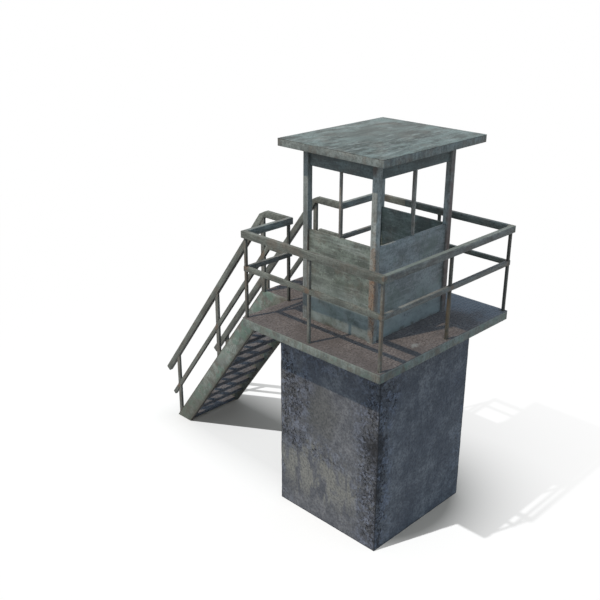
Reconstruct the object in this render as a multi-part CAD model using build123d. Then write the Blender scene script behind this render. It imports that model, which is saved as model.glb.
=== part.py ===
"""Small watchtower on a concrete block, with an outside stair.

The frame is in millimetres, with the origin on the ground under the middle
of the block and +Z up. The stair comes down on the rear side, along +Y.
Left is -X, right is +X and front is -Y. The frame and deck are steel.
"""
from build123d import *
from math import atan2, cos, sin, tan
import os

# Concrete block under the tower
base_length = 1800
base_width = 1680
base_height = 2640

# Platform: a frame of flat beams with joists on the block and a plate on top
deck_length = 2570
deck_width = 2260
deck_frame_depth = 112
deck_beam_width = 60
deck_joist_width = 60
deck_joist_count = 4
deck_joist_edge = 90
deck_plate_thickness = 8

# Cab: corner posts, low walls on three sides, head plates and mullions
cab_length = 1458
cab_width = 1150
cab_shift_x = -15
cab_shift_y = 20
cab_height = 2192
cab_post_size = 78
wall_height = 1180
wall_thickness = 30
wall_inset = 24
head_depth = 224
mullion_size = 30

# Roof: edge beams, rafters over the posts and a sheet on top
roof_length = 1924
roof_width = 1608
roof_frame_depth = 84
roof_beam_width = 60
rafter_width = 60
rafter_count = 4
roof_sheet_thickness = 8

# Railing round the platform
rail_width = 60
rail_depth = 88
rail_height = 1148
mid_rail_width = 44
mid_rail_depth = 62
mid_rail_height = 690
mid_rail_inset = 18
post_size = 35
post_inset = 24

# Stair: landing, stringers, treads, handrails and posts
stair_width = 1044
stair_shift_x = 22
landing_length = 500
stair_run = 2060
stringer_thickness = 55
stringer_depth = 250
tread_count = 11
tread_first_drop = 215
tread_depth = 235
tread_thickness = 50
tread_setback = 12
handrail_bend_setback = 26
handrail_bend_cut = 70
handrail_reach = 235
stair_mid_bend_setback = 124
stair_mid_reach = 95
stair_post_depth = 65
stair_post_count = 3
stair_post_landing_setback = 70
stair_post_foot_setback = 115

# Levels and lines worked out from the sizes
deck_underside = base_height
deck_frame_top = deck_underside + deck_frame_depth
deck_top = deck_frame_top + deck_plate_thickness
deck_x = deck_length / 2
deck_y = deck_width / 2
rail_top = deck_top + rail_height
rail_underside = rail_top - rail_depth
mid_rail_top = deck_top + mid_rail_height
mid_rail_underside = mid_rail_top - mid_rail_depth
roof_underside = deck_top + cab_height
roof_frame_top = roof_underside + roof_frame_depth
wall_top = deck_top + wall_height
head_underside = roof_underside - head_depth
stair_left = stair_shift_x - stair_width / 2
stair_right = stair_shift_x + stair_width / 2
landing_end = deck_y + landing_length
stair_foot = landing_end + stair_run
slope = atan2(deck_top, stair_run)


def block(x, y, z):
    """A box from three (low, high) pairs."""
    size = [high - low for low, high in (x, y, z)]
    centre = [(high + low) / 2 for low, high in (x, y, z)]
    return Pos(*centre) * Box(*size)


def mirrored(span):
    """The same span on the other side of the middle."""
    return (-span[1], -span[0])


def both(solid_at, span):
    """One solid on each side of the middle."""
    return [solid_at(mirrored(span)), solid_at(span)]


def spread(first, last, count):
    """Evenly spaced places from first to last."""
    step = (last - first) / (count - 1)
    return [first + step * i for i in range(count)]


def stair_sides(thickness):
    """The spans of a pair of members along the stair's left and right sides."""
    return (stair_left, stair_left + thickness), (stair_right - thickness, stair_right)


def save(name, solids):
    export_step(Compound(children=list(solids)), f"parts/{name}.step")


def concrete_base():
    x = base_length / 2
    y = base_width / 2
    return [block((-x, x), (-y, y), (0, base_height))]


def deck_side_beams():
    """The two long beams, along the front and rear edges."""
    z = (deck_underside, deck_frame_top)
    return both(lambda y: block((-deck_x, deck_x), y, z), (deck_y - deck_beam_width, deck_y))


def deck_end_beams():
    """The two short beams, between the long ones."""
    y = deck_y - deck_beam_width
    z = (deck_underside, deck_frame_top)
    return both(lambda x: block(x, (-y, y), z), (deck_x - deck_beam_width, deck_x))


def deck_joists():
    """Joists across the block, between the long beams."""
    last = base_length / 2 - deck_joist_edge
    half = deck_joist_width / 2
    y = deck_y - deck_beam_width
    z = (deck_underside, deck_frame_top)
    return [block((x - half, x + half), (-y, y), z) for x in spread(-last, last, deck_joist_count)]


def deck_plate():
    return [block((-deck_x, deck_x), (-deck_y, deck_y), (deck_frame_top, deck_top))]


# Outer faces of the cab, and the bands that its posts and walls fill
cab_left = cab_shift_x - cab_length / 2
cab_right = cab_shift_x + cab_length / 2
cab_front = cab_shift_y - cab_width / 2
cab_rear = cab_shift_y + cab_width / 2
post_bands_x = ((cab_left, cab_left + cab_post_size), (cab_right - cab_post_size, cab_right))
post_bands_y = ((cab_front, cab_front + cab_post_size), (cab_rear - cab_post_size, cab_rear))
between_posts_x = (post_bands_x[0][1], post_bands_x[1][0])
between_posts_y = (post_bands_y[0][1], post_bands_y[1][0])


def wall_band(outer, inward, thickness):
    """The span of a wall or mullion set in from an outer face of the cab."""
    near = outer + inward * wall_inset
    return tuple(sorted((near, near + inward * thickness)))


def cab_posts():
    z = (deck_top, roof_underside)
    return [block(x, y, z) for x in post_bands_x for y in post_bands_y]


def wall_left(z=(deck_top, wall_top)):
    return [block(wall_band(cab_left, 1, wall_thickness), between_posts_y, z)]


def wall_right(z=(deck_top, wall_top)):
    return [block(wall_band(cab_right, -1, wall_thickness), between_posts_y, z)]


def wall_front(z=(deck_top, wall_top)):
    return [block(between_posts_x, wall_band(cab_front, 1, wall_thickness), z)]


def heads_short():
    """Plates under the roof on the left and right sides."""
    z = (head_underside, roof_underside)
    return wall_left(z) + wall_right(z)


def heads_long():
    """Plates under the roof at the front and over the doorway."""
    z = (head_underside, roof_underside)
    rear = block(between_posts_x, wall_band(cab_rear, -1, wall_thickness), z)
    return wall_front(z) + [rear]


def mullions():
    """One upright in the middle of each window."""
    half = mullion_size / 2
    x = (cab_shift_x - half, cab_shift_x + half)
    y = (cab_shift_y - half, cab_shift_y + half)
    z = (wall_top, head_underside)
    left = block(wall_band(cab_left, 1, mullion_size), y, z)
    right = block(wall_band(cab_right, -1, mullion_size), y, z)
    front = block(x, wall_band(cab_front, 1, mullion_size), z)
    return [left, right, front]


def roof_side_beams():
    x = roof_length / 2
    y = roof_width / 2
    z = (roof_underside, roof_frame_top)
    return both(lambda span: block((-x, x), span, z), (y - roof_beam_width, y))


def roof_end_beams():
    x = roof_length / 2
    y = roof_width / 2 - roof_beam_width
    z = (roof_underside, roof_frame_top)
    return both(lambda span: block(span, (-y, y), z), (x - roof_beam_width, x))


def roof_rafters():
    """Rafters between the long roof beams, the outer two on the posts."""
    first = sum(post_bands_x[0]) / 2
    last = sum(post_bands_x[1]) / 2
    half = rafter_width / 2
    y = roof_width / 2 - roof_beam_width
    z = (roof_underside, roof_frame_top)
    return [block((x - half, x + half), (-y, y), z) for x in spread(first, last, rafter_count)]


def roof_sheet():
    x = roof_length / 2
    y = roof_width / 2
    return [block((-x, x), (-y, y), (roof_frame_top, roof_frame_top + roof_sheet_thickness))]


# Bands of the railing, seen from above
rail_band_x = (deck_x - rail_width, deck_x)
rail_band_y = (deck_y - rail_width, deck_y)
mid_band_x = (deck_x - mid_rail_inset - mid_rail_width, deck_x - mid_rail_inset)
mid_band_y = (deck_y - mid_rail_inset - mid_rail_width, deck_y - mid_rail_inset)
post_band_x = (deck_x - post_inset - post_size, deck_x - post_inset)
post_band_y = (deck_y - post_inset - post_size, deck_y - post_inset)
stair_gap_post_y = (deck_y - post_size, deck_y)
centre_post = (-post_size / 2, post_size / 2)
rail_z = (rail_underside, rail_top)
mid_z = (mid_rail_underside, mid_rail_top)


def side_rail(x, half_length, z):
    """A rail along the left or right edge, over its full length."""
    return [block(x, (-half_length, half_length), z)]


def front_rail(y, half_length, z):
    """The front rail, between the two side rails."""
    return [block((-half_length, half_length), mirrored(y), z)]


def rear_rails(y, gap_sides, half_length, z):
    """The two short rear rails, each running on to the stair's own rail."""
    left, right = gap_sides
    return [block((-half_length, left[1]), y, z), block((right[0], half_length), y, z)]


def rail_post(x, y):
    """A post in two lengths, below and above the middle rail."""
    low = block(x, y, (deck_top, mid_rail_underside))
    high = block(x, y, (mid_rail_top, rail_underside))
    return [low, high]


def rail_posts(places):
    return [solid for x, y in places for solid in rail_post(x, y)]


def rail_posts_side(x):
    """Front corner, middle and rear corner posts of one side."""
    return rail_posts([(x, mirrored(post_band_y)), (x, centre_post), (x, post_band_y)])


def sloped_bar(start_y, top, bend_y, end_y, depth, x, cut=0.0):
    """A flat-sided bar, level from start_y to bend_y and then down to end_y.

    The lower end is cut square to the slope. A cut takes the top corner off the bend.
    """
    end_top = top - (end_y - bend_y) * tan(slope)
    inner_bend = bend_y - depth * tan(slope / 2)
    outline = Polyline(
        (start_y, top),
        (bend_y, top),
        (end_y, end_top),
        (end_y - depth * sin(slope), end_top - depth * cos(slope)),
        (inner_bend, top - depth),
        (start_y, top - depth),
        close=True,
    )
    face = make_face(outline)
    if cut:
        corner = face.vertices().sort_by_distance((bend_y, top, 0))[0]
        face = chamfer(corner, cut)
    return push(face, x)


def push(face, x):
    """Stand a (y, z) outline upright and push it along X over the span x."""
    upright = Plane(origin=(x[0], 0, 0), x_dir=(0, 1, 0), z_dir=(1, 0, 0))
    return extrude(upright * face, x[1] - x[0])


def stringer(x):
    """A plate level under the landing, then down to a foot cut flat on the ground."""
    inner_bend = landing_end - stringer_depth * tan(slope / 2)
    outline = Polyline(
        (deck_y, deck_top),
        (landing_end, deck_top),
        (stair_foot, 0),
        (stair_foot - stringer_depth / sin(slope), 0),
        (inner_bend, deck_top - stringer_depth),
        (deck_y, deck_top - stringer_depth),
        close=True,
    )
    return push(make_face(outline), x)


def stringer_line(z):
    """Where the top edge of a stringer reaches the level z."""
    return landing_end + (deck_top - z) / tan(slope)


def treads():
    """Open treads at even heights, the lowest one on the ground."""
    left, right = stair_sides(stringer_thickness)
    solids = []
    for top in spread(deck_top - tread_first_drop, tread_thickness, tread_count):
        nose = stringer_line(top) - tread_setback
        y = (nose - tread_depth, nose)
        solids.append(block((left[1], right[0]), y, (top - tread_thickness, top)))
    return solids


def landing_plate():
    left, right = stair_sides(stringer_thickness)
    y = (deck_y, landing_end - tread_setback)
    return [block((left[1], right[0]), y, (deck_top - tread_thickness, deck_top))]


def handrail(x):
    bend = landing_end - handrail_bend_setback
    end = stair_foot + handrail_reach
    return sloped_bar(deck_y, rail_top, bend, end, rail_depth, x, handrail_bend_cut)


def stair_mid_rail(x):
    start = deck_y - mid_rail_inset
    bend = landing_end - stair_mid_bend_setback
    end = stair_foot + stair_mid_reach
    return sloped_bar(start, mid_rail_top, bend, end, mid_rail_depth, x)


def stair_posts(x):
    """Posts on a stringer's top edge, cut to the rails that they meet."""
    across = (stair_left, stair_right)
    under_rails = [stringer(across), stair_mid_rail(across), handrail(across)]
    solids = []
    first = landing_end - stair_post_landing_setback
    last = stair_foot - stair_post_foot_setback
    for start in spread(first, last, stair_post_count):
        tall = block(x, (start, start + stair_post_depth), (0, rail_top))
        for piece in under_rails:
            tall = tall - piece
        lengths = sorted(tall.solids(), key=lambda s: s.center().Z)
        solids += [s for s in lengths if is_post_length(s)]
    return solids


def is_post_length(solid):
    """True for the two lengths above the stringer and below the handrail."""
    middle = solid.center()
    above_stringer = middle.Y > stringer_line(middle.Z) or middle.Z > deck_top
    handrail_bend = landing_end - handrail_bend_setback
    drop = max(0, middle.Y - handrail_bend) * tan(slope)
    return above_stringer and middle.Z < rail_top - drop - rail_depth


stringer_spans = stair_sides(stringer_thickness)
handrail_spans = stair_sides(rail_width)
stair_mid_spans = stair_sides(mid_rail_width)
stair_post_spans = stair_sides(post_size)

parts = {
    "concrete_base": concrete_base(),
    "deck_side_beams": deck_side_beams(),
    "deck_end_beams": deck_end_beams(),
    "deck_joists": deck_joists(),
    "deck_plate": deck_plate(),
    "cab_posts": cab_posts(),
    "wall_left": wall_left(),
    "wall_right": wall_right(),
    "wall_front": wall_front(),
    "heads_short": heads_short(),
    "heads_long": heads_long(),
    "mullions": mullions(),
    "roof_rafters": roof_rafters(),
    "roof_side_beams": roof_side_beams(),
    "roof_end_beams": roof_end_beams(),
    "roof_sheet": roof_sheet(),
    "top_rail_left": side_rail(mirrored(rail_band_x), deck_y, rail_z),
    "top_rail_right": side_rail(rail_band_x, deck_y, rail_z),
    "top_rail_front": front_rail(rail_band_y, rail_band_x[0], rail_z),
    "top_rails_rear": rear_rails(rail_band_y, handrail_spans, rail_band_x[0], rail_z),
    "mid_rail_left": side_rail(mirrored(mid_band_x), mid_band_y[1], mid_z),
    "mid_rail_right": side_rail(mid_band_x, mid_band_y[1], mid_z),
    "mid_rail_front": front_rail(mid_band_y, mid_band_x[0], mid_z),
    "mid_rails_rear": rear_rails(mid_band_y, stair_mid_spans, mid_band_x[0], mid_z),
    "rail_posts_left": rail_posts_side(mirrored(post_band_x)),
    "rail_posts_right": rail_posts_side(post_band_x),
    "rail_posts_front": rail_posts([(centre_post, mirrored(post_band_y))]),
    "rail_posts_rear": rail_posts([(x, stair_gap_post_y) for x in stair_post_spans]),
    "landing_plate": landing_plate(),
    "treads": treads(),
    "stringer_left": [stringer(stringer_spans[0])],
    "stringer_right": [stringer(stringer_spans[1])],
    "handrail_left": [handrail(handrail_spans[0])],
    "handrail_right": [handrail(handrail_spans[1])],
    "stair_mid_rail_left": [stair_mid_rail(stair_mid_spans[0])],
    "stair_mid_rail_right": [stair_mid_rail(stair_mid_spans[1])],
    "stair_posts_left": stair_posts(stair_post_spans[0]),
    "stair_posts_right": stair_posts(stair_post_spans[1]),
}

os.makedirs("parts", exist_ok=True)
for name, solids in parts.items():
    save(name, solids)
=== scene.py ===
from math import cos, radians, sin

import bmesh
import bpy
from mathutils import Matrix, Vector, noise


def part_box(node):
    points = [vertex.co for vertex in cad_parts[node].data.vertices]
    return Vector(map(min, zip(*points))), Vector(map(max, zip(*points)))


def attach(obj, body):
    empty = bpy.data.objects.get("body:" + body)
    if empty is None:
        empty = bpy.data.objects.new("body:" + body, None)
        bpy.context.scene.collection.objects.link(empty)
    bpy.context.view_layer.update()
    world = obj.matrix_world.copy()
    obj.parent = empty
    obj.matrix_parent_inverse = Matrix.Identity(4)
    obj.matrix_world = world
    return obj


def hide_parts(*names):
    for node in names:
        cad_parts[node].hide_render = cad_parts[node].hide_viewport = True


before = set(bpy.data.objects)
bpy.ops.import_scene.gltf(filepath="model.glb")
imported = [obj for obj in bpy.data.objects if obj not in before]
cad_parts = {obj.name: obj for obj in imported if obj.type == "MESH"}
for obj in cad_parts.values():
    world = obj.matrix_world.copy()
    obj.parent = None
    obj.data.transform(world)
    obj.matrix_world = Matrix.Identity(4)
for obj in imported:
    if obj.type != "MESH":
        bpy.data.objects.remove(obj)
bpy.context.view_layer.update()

# Where the photograph was taken from: high up in front of the left corner, with the whole
# tower and its stair in view.
scene = bpy.context.scene
camera_place = (-7.8779, -6.4131, 7.0886)
across, above, roll = radians(-45.315), radians(22.269), radians(0.146)
right = Vector((cos(across), sin(across), 0))
back = Vector((sin(across) * cos(above), -cos(across) * cos(above), sin(above)))
up = back.cross(right)
camera = bpy.data.objects.new("camera", bpy.data.cameras.new("camera"))
camera.data.lens = 51.45
camera.data.sensor_width = 36
camera.data.clip_end = 400
camera_turn = Matrix((cos(roll) * right + sin(roll) * up, cos(roll) * up - sin(roll) * right, back))
camera.matrix_world = Matrix.Translation(camera_place) @ camera_turn.transposed().to_4x4()
scene.collection.objects.link(camera)
scene.camera = camera
scene.view_settings.view_transform = "Standard"


# Daylight: a clear sun from behind the left side, and a pale blue sky that fills the shaded
# faces. The sky is plain white to the camera and in reflections.
sunbeam = Vector((1.0, -0.35, -1.65))
sun_width = radians(0.8)


def add_sun(name, energy, colour):
    """A sun that shines along the sunbeam."""
    lamp = bpy.data.objects.new(name, bpy.data.lights.new(name, "SUN"))
    lamp.data.energy = energy
    lamp.data.color = colour
    lamp.data.angle = sun_width
    lamp.rotation_mode = "QUATERNION"
    lamp.rotation_quaternion = sunbeam.to_track_quat("-Z", "Y")
    scene.collection.objects.link(lamp)
    return lamp


def feed(tree, new, feeds):
    """Fills a node's inputs with plain values or with other nodes' outputs."""
    for key, value in feeds.items():
        if isinstance(value, bpy.types.NodeSocket):
            tree.links.new(value, new.inputs[key])
        else:
            new.inputs[key].default_value = value
    return new


def place(tree, kind, feeds=None, **settings):
    """Adds a shader node, sets it up and fills its inputs."""
    new = tree.nodes.new("ShaderNode" + kind)
    for key, value in settings.items():
        setattr(new, key, value)
    return feed(tree, new, feeds or {})


def calc(tree, operation, first, second=0.0, clamp=False):
    return place(tree, "Math", {0: first, 1: second}, operation=operation, use_clamp=clamp).outputs[0]


def seen_or_mirrored(tree):
    """1 for what the camera sees straight, in a gloss or through glass, and 0 for light alone."""
    rays = place(tree, "LightPath").outputs
    gloss = calc(tree, "MAXIMUM", rays["Is Camera Ray"], rays["Is Glossy Ray"])
    return calc(tree, "MAXIMUM", gloss, rays["Is Transmission Ray"])


sun = add_sun("sun", 2.0, (1.0, 0.88, 0.72))
sky = bpy.data.worlds.new("sky")
scene.world = sky
sky.use_nodes = True
sky_tree = sky.node_tree
sky_tree.nodes.clear()
sky_light = place(sky_tree, "Background", {"Color": (0.55, 0.77, 1.0, 1), "Strength": 0.82})
sky_white = place(sky_tree, "Background", {"Color": (1, 1, 1, 1), "Strength": 1.0})
sky_mix = place(sky_tree, "MixShader", {
    0: seen_or_mirrored(sky_tree), 1: sky_light.outputs[0], 2: sky_white.outputs[0]})
place(sky_tree, "OutputWorld", {"Surface": sky_mix.outputs[0]})


# Level pale ground to stand on. It keeps the tower's shadow, which fades out to white with
# distance as in the photograph.
ground_reach = 150
ground_mesh = bpy.data.meshes.new("ground")
ground_corners = [(x, y, 0) for x, y in ((-1, -1), (1, -1), (1, 1), (-1, 1))]
ground_mesh.from_pydata([Vector(c) * ground_reach for c in ground_corners], [], [(0, 1, 2, 3)])
ground = bpy.data.objects.new("ground", ground_mesh)
scene.collection.objects.link(ground)


def vector_calc(tree, operation, first, second=(0, 0, 0)):
    """A new vector, or the number that a length, distance or dot product comes to."""
    outputs = place(tree, "VectorMath", {0: first, 1: second}, operation=operation).outputs
    return outputs["Value" if operation in ("LENGTH", "DISTANCE", "DOT_PRODUCT") else "Vector"]


def scaled(tree, colour, share):
    """A colour made darker or lighter."""
    feeds = {0: colour, "Scale": share}
    return place(tree, "VectorMath", feeds, operation="SCALE").outputs[0]


def mix(tree, factor, first, second):
    """A blend of two colours, each plain or from a node: the first at 0 and the second at 1."""
    def colour(c):
        return c if isinstance(c, bpy.types.NodeSocket) else (*c, 1)
    feeds = {0: factor, 6: colour(first), 7: colour(second)}
    return place(tree, "Mix", feeds, data_type="RGBA", clamp_factor=True).outputs[2]


ground_paint = bpy.data.materials.new("pale_ground")
ground_paint.use_nodes = True
tree = ground_paint.node_tree
tree.nodes.clear()
ground_at = place(tree, "TexCoord").outputs["Object"]
shadow_middle, shadow_foot = (0.1, 0.1, 0), 1.12
stair_middle, stair_half = (-0.02, 2.265, 0), (0.47, 1.425, 0)
stair_fade, fade_rate = 0.55, -1.35
shadow_tone, lit_tone = (0.177, 0.132, 0.10), (0.68, 0.51, 0.39)

off_stair = vector_calc(tree, "ABSOLUTE", vector_calc(tree, "SUBTRACT", ground_at, stair_middle))
off_stair = vector_calc(tree, "MAXIMUM", vector_calc(tree, "SUBTRACT", off_stair, stair_half))
off_stair = vector_calc(tree, "LENGTH", off_stair)
off_block = vector_calc(tree, "DISTANCE", ground_at, shadow_middle)
off_block = calc(tree, "SUBTRACT", off_block, shadow_foot)
past = calc(tree, "MINIMUM", off_block, calc(tree, "MULTIPLY", off_stair, stair_fade))
past = calc(tree, "MAXIMUM", past, 0.0)
left_over = calc(tree, "EXPONENT", calc(tree, "MULTIPLY", past, fade_rate))
ground_seen = seen_or_mirrored(tree)
ground_fade = calc(tree, "MULTIPLY", calc(tree, "SUBTRACT", 1.0, left_over), ground_seen)
# Near the stair the ground is darkened: painted shade.
stair_painted_shade = place(tree, "MapRange", {
    "Value": off_stair, "From Max": 0.6, "To Min": 0.86, "To Max": 1.0}).outputs[0]
ground_tone = scaled(tree, mix(tree, ground_seen, shadow_tone, lit_tone), stair_painted_shade)
ground_matt = place(tree, "BsdfDiffuse", {"Color": ground_tone})
ground_white = place(tree, "Emission", {"Strength": 1.0})
ground_mix = place(tree, "MixShader", {
    0: ground_fade, 1: ground_matt.outputs[0], 2: ground_white.outputs[0]})
place(tree, "OutputMaterial", {"Surface": ground_mix.outputs[0]})
ground_mesh.materials.append(ground_paint)

# The ground has a sun of its own, in step with the tower's, so that its lit part is white and
# its shadow a neutral grey
ground_sun = add_sun("ground_sun", 7.4, (0.575, 0.765, 1.0))
for lamp, lit in ((ground_sun, "INCLUDE"), (sun, "EXCLUDE")):
    lit_by = bpy.data.collections.new(lamp.name + "_lights")
    lit_by.objects.link(ground)
    lamp.light_linking.receiver_collection = lit_by
    lit_by.collection_objects[0].light_linking.link_state = lit


# Concrete block. Solid cast concrete that carries the platform. Its skin has flaked and pitted
# at the corners, and water has left stains.
def finish_piece(piece, slot, *nodes):
    """Fixes a finished piece to the tower, and lets it stand for its solids."""
    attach(piece, "root")
    if nodes:
        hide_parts(*nodes)


def add_object(name, mesh, material):
    mesh.materials.clear()
    mesh.materials.append(material)
    made = bpy.data.objects.new(name, mesh)
    scene.collection.objects.link(made)
    return made


def open_group(name, inputs, outputs):
    """A shader group with named inputs and outputs: its tree, and both ends inside it."""
    group = bpy.data.node_groups.new(name, "ShaderNodeTree")
    for label, kind, value in inputs:
        socket = group.interface.new_socket(label, in_out="INPUT", socket_type="NodeSocket" + kind)
        socket.default_value = value
    for label, kind in outputs:
        group.interface.new_socket(label, in_out="OUTPUT", socket_type="NodeSocket" + kind)
    return group, group.nodes.new("NodeGroupInput").outputs, group.nodes.new("NodeGroupOutput").inputs


def use_group(tree, group, feeds=None):
    """Puts a group in a tree, fills its inputs, and gives its outputs."""
    new = tree.nodes.new("ShaderNodeGroup")
    new.node_tree = group
    return feed(tree, new, feeds or {}).outputs


def between(tree, value, low, high):
    """0 below low, 1 above high, and a soft step from one to the other."""
    feeds = {"Value": value, "From Min": low, "From Max": high}
    return place(tree, "MapRange", feeds, interpolation_type="SMOOTHSTEP").outputs[0]


def tint(tree, colour, mask, share, tone):
    """Lays a tone over a colour where the mask is, up to this share."""
    return mix(tree, calc(tree, "MULTIPLY", mask, share), colour, tone)


def stretched(tree, at, stretch):
    """Coordinates for a pattern that is finer along an axis by its stretch."""
    return vector_calc(tree, "MULTIPLY", at, stretch)


def apart(tree, vector):
    """The X, Y and Z of a vector."""
    return place(tree, "SeparateXYZ", {0: vector}).outputs


def facing(tree):
    """The way that the surface faces, as X, Y and Z."""
    return apart(tree, place(tree, "NewGeometry").outputs["True Normal"])


def cloudy(tree, at, scale, detail=4.0, roughness=0.55, distortion=0.0):
    """A cloudy noise between 0 and 1."""
    feeds = {"Vector": at, "Scale": scale, "Detail": detail, "Roughness": roughness,
             "Distortion": distortion}
    return place(tree, "TexNoise", feeds).outputs[0]


# A patch round one place, with a ragged rim: for a stain or a worn spot
patch_group, ins, outs = open_group("patch_at", [
    ("Vector", "Vector", (0, 0, 0)), ("Centre", "Vector", (0, 0, 0)), ("Size", "Vector", (1, 1, 1)),
    ("Raggedness", "Float", 0.5), ("Grain", "Float", 12.0)], [("Mask", "Float")])
tree = patch_group
away = vector_calc(tree, "SUBTRACT", ins["Vector"], ins["Centre"])
away = vector_calc(tree, "LENGTH", vector_calc(tree, "DIVIDE", away, ins["Size"]))
ragged = calc(tree, "SUBTRACT", cloudy(tree, ins["Vector"], ins["Grain"]), 0.5)
ragged = calc(tree, "MULTIPLY", ragged, ins["Raggedness"])
away = calc(tree, "ADD", away, calc(tree, "MULTIPLY", ragged, 4.0))
tree.links.new(calc(tree, "SUBTRACT", 1.0, between(tree, away, 0.35, 1.1)), outs["Mask"])


def patch(tree, at, centre, size, ragged, grain):
    feeds = {"Vector": at, "Centre": centre, "Size": size, "Raggedness": ragged, "Grain": grain}
    return use_group(tree, patch_group, feeds)["Mask"]


# Where an edge of a piece is, broken up by a grain: for wear and dark lines along edges
edge_group, ins, outs = open_group("worn_edge", [
    ("Vector", "Vector", (0, 0, 0)), ("Reach", "Float", 0.008), ("Grain", "Float", 20.0),
    ("Gaps", "Float", 0.5)], [("Mask", "Float")])
tree = edge_group
rounded = place(tree, "Bevel", {"Radius": ins["Reach"]}, samples=6).outputs[0]
flat = place(tree, "NewGeometry").outputs["True Normal"]
turn = vector_calc(tree, "DOT_PRODUCT", rounded, flat)
near_edge = between(tree, calc(tree, "SUBTRACT", 1.0, turn), 0.01, 0.16)
broken = calc(tree, "ADD", cloudy(tree, ins["Vector"], ins["Grain"]), 0.5)
broken = between(tree, calc(tree, "SUBTRACT", broken, ins["Gaps"]), 0.35, 0.75)
tree.links.new(calc(tree, "MULTIPLY", near_edge, broken), outs["Mask"])


def edge(tree, at, reach, grain, gaps):
    feeds = {"Vector": at, "Reach": reach, "Grain": grain, "Gaps": gaps}
    return use_group(tree, edge_group, feeds)["Mask"]


def start_material(name):
    """A new material, its tree, its shader, and the place on the object."""
    material = bpy.data.materials.new(name)
    material.use_nodes = True
    tree = material.node_tree
    shader = tree.nodes["Principled BSDF"]
    return material, tree, shader, place(tree, "TexCoord").outputs["Object"]


def close_material(tree, shader, colour, rough, height, bump, depth):
    """Feeds a material's shader: its colour, its roughness, and a bump of the given depth."""
    normal = place(tree, "Bump", {"Strength": bump, "Distance": depth, "Height": height})
    feed(tree, shader, {"Base Color": colour, "Roughness": rough, "Normal": normal.outputs[0]})


block_low, block_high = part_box("concrete_base")
left_x, front_y = block_low.x, block_low.y
grey_deep, grey_pale, grey_mottle = (0.150, 0.150, 0.162), (0.248, 0.242, 0.246), (0.080, 0.084, 0.095)
ochre, damp_brown, flake_blue = (0.315, 0.298, 0.258), (0.145, 0.138, 0.118), (0.236, 0.254, 0.318)
pit_black, soot_black, run_and_shade_dark = (0.016, 0.016, 0.019), (0.033, 0.032, 0.033), (0.07, 0.078, 0.098)
speck_pale, grain_dark, line_dark = (0.30, 0.30, 0.30), (0.05, 0.05, 0.058), (0.035, 0.036, 0.040)

concrete, tree, shader, at = start_material("pitted_concrete")
broad = cloudy(tree, at, 2.1, 7.0, 0.62)
fine = cloudy(tree, at, 30.0, 6.0, 0.68)
mottle = cloudy(tree, at, 9.0, 6.0, 0.66, 0.3)
colour = mix(tree, between(tree, broad, 0.38, 0.62), grey_deep, grey_pale)
mottled = mix(tree, 0.50, colour, grey_mottle)
colour = mix(tree, between(tree, mottle, 0.40, 0.60), mottled, colour)

# Ochre runs low down on the left face, and a damp brown patch above them
fingers = cloudy(tree, stretched(tree, at, (3.4, 3.4, 1.1)), 2.0, 5.0, 0.6, 0.5)
low_part = patch(tree, at, (left_x, 0.15, 0.66), (0.5, 1.05, 0.52), ragged=0.30, grain=2.6)
smear = calc(tree, "MULTIPLY", between(tree, fingers, 0.44, 0.56), low_part)
colour = tint(tree, colour, smear, 0.85, ochre)
damp = patch(tree, at, (left_x, 0.12, 1.62), (0.4, 0.36, 0.46), ragged=0.30, grain=5.0)
colour = tint(tree, colour, damp, 0.55, damp_brown)

# Where the skin flakes: along the upright corners, and in areas on the left and front faces
span = apart(tree, vector_calc(tree, "ABSOLUTE", at))
at_corner = calc(tree, "MULTIPLY", between(tree, span["X"], 0.55, block_high.x),
                 between(tree, span["Y"], 0.50, block_high.y))
at_corner = calc(tree, "MULTIPLY", at_corner, between(tree, cloudy(tree, at, 2.3), 0.45, 0.60))
flaking = calc(tree, "MULTIPLY", at_corner, 0.75)
for share, centre, size, ragged, grain in (
        (1.00, (left_x, 0.70, 1.62), (0.60, 0.46, 0.95), 0.32, 4.0),
        (1.00, (left_x, -0.80, 1.05), (0.34, 0.42, 2.60), 0.28, 5.0),
        (0.55, (left_x, 0.10, 2.40), (0.50, 1.00, 0.30), 0.30, 4.0),
        (0.75, (left_x, 0.35, 1.06), (0.50, 0.95, 0.24), 0.32, 4.0),
        (0.80, (-0.70, front_y, 2.15), (0.26, 0.30, 0.42), 0.30, 5.0)):
    area = calc(tree, "MULTIPLY", patch(tree, at, centre, size, ragged, grain), share)
    flaking = calc(tree, "MAXIMUM", flaking, area)
flake = between(tree, cloudy(tree, at, 9.0, 10.0, 0.76), 0.48, 0.52)
flake = calc(tree, "MULTIPLY", flake, flaking)
colour = tint(tree, colour, flake, 0.62, flake_blue)

# Pits stand close where it flakes, in clumps, and thinly elsewhere
clumps = between(tree, cloudy(tree, at, 5.0, 4.0, 0.6), 0.34, 0.50)
pit_reach = calc(tree, "MULTIPLY", calc(tree, "MULTIPLY", flaking, clumps), 0.185)
pit_line = calc(tree, "SUBTRACT", 0.695, pit_reach)
pit = calc(tree, "SUBTRACT", cloudy(tree, at, 35.0, 6.0, 0.78, 0.9), pit_line)
pit = between(tree, pit, 0.0, 0.025)
colour = tint(tree, colour, pit, 0.92, pit_black)
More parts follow.
